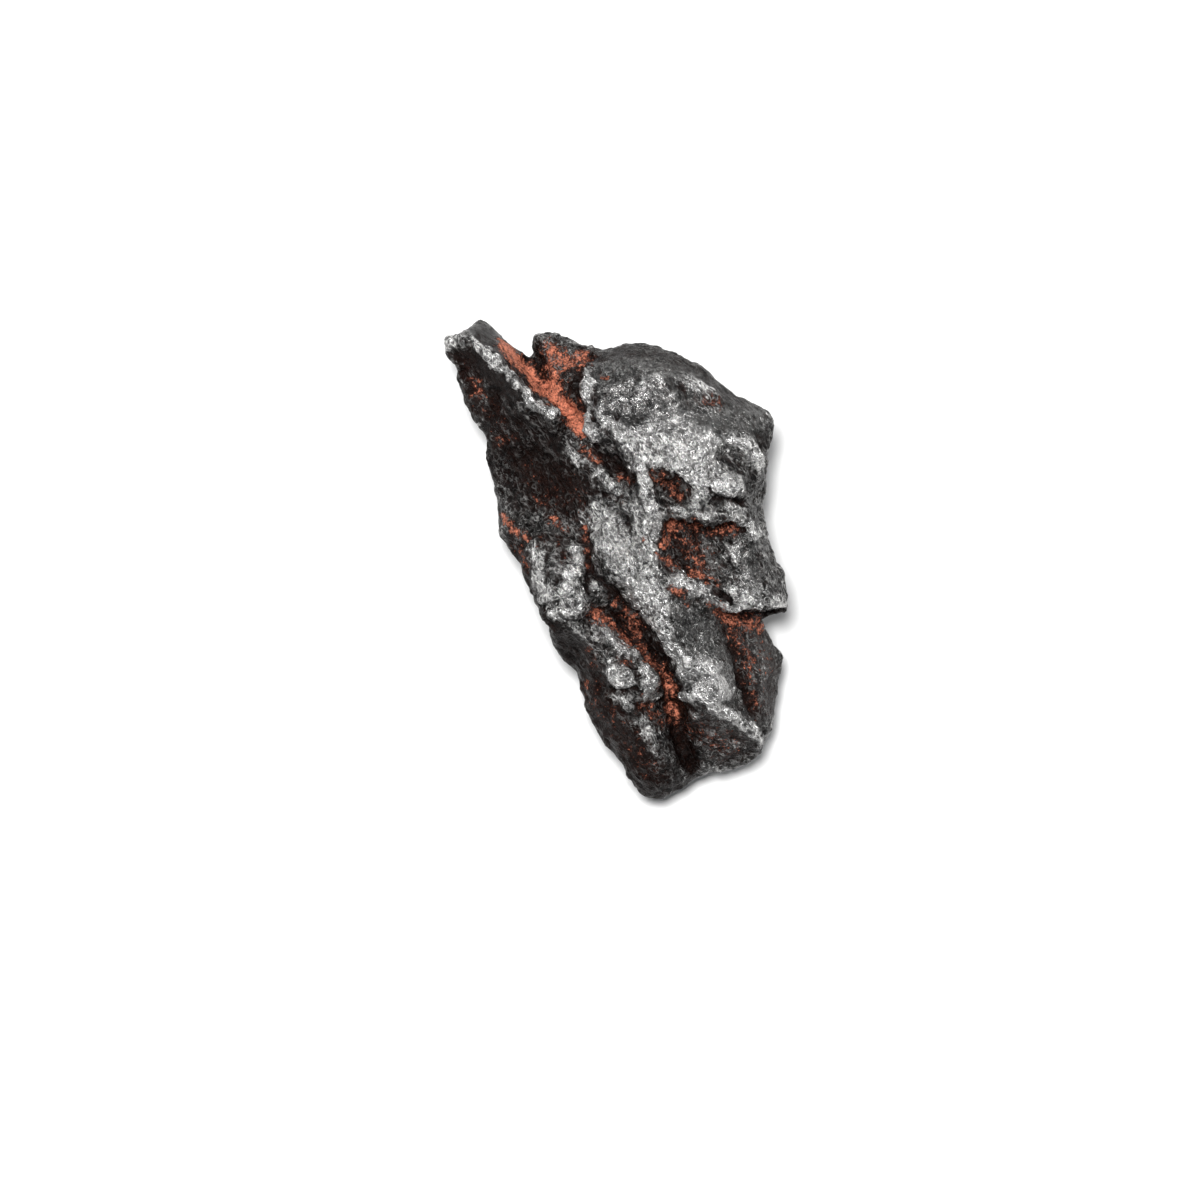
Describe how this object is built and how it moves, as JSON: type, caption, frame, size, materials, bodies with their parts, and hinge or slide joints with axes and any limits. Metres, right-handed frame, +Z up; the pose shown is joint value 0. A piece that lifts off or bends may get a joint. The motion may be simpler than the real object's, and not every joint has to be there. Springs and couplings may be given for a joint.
{
  "type": "iron meteorite",
  "caption": "Jagged dark iron meteorite, hand-sized, with horns, pits, ledges and a deep cleft, resting on a small flat spot.",
  "frame": {"origin": "under the middle of the bounding box, on the surface that the meteorite rests on", "axes": "+Y from the two lobes to the horns, along the length; +Z up, out of the pitted face; +X to the side of the spur"},
  "size_m": [0.0288, 0.0406, 0.0157],
  "materials": {
    "iron": "dark grey iron with a fine sparkle, rust in its cracks and pits"
  },
  "bodies": {
    "root": {"meteorite": "iron"}
  },
  "joints": []
}
